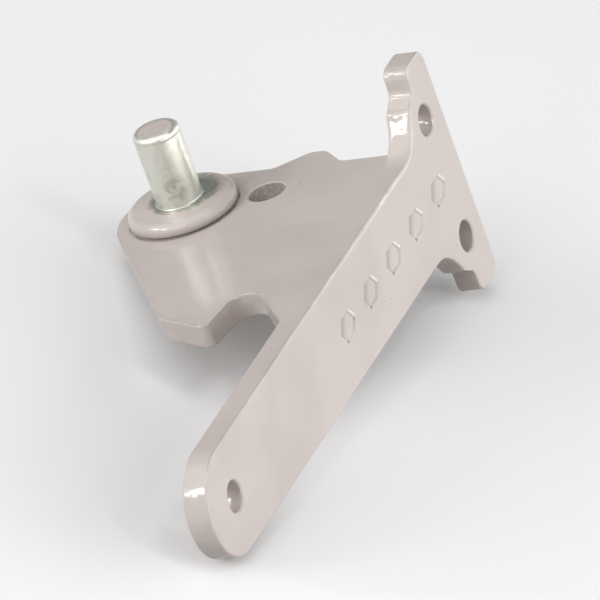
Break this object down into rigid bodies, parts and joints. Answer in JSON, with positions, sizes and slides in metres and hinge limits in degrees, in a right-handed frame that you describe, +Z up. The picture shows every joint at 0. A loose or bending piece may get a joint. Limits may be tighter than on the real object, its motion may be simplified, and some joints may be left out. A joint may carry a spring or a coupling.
{
  "type": "pivot hinge",
  "caption": "Painted steel pivot hinge: a T-shaped mounting plate, a leaf welded square to its back, and a fixed collared pin on which a door leaf turns.",
  "frame": {"origin": "on the pin's axis, in the plane of the collar's upper bearing face", "axes": "+Z up the pin, +X along the mounting plate towards its head, so the mounting face looks along -Y"},
  "size_m": [0.1402, 0.0592, 0.0557],
  "materials": {
    "paint": "glossy powder coat, warm grey",
    "weld_paint": "powder coat over a weld bead",
    "zinc": "zinc-plated turned steel, masked from the paint"
  },
  "bodies": {
    "root": {"mounting_plate": "paint", "hinge_leaf": "paint", "weld_bead": "weld_paint", "pivot_pin": "zinc"}
  },
  "joints": []
}
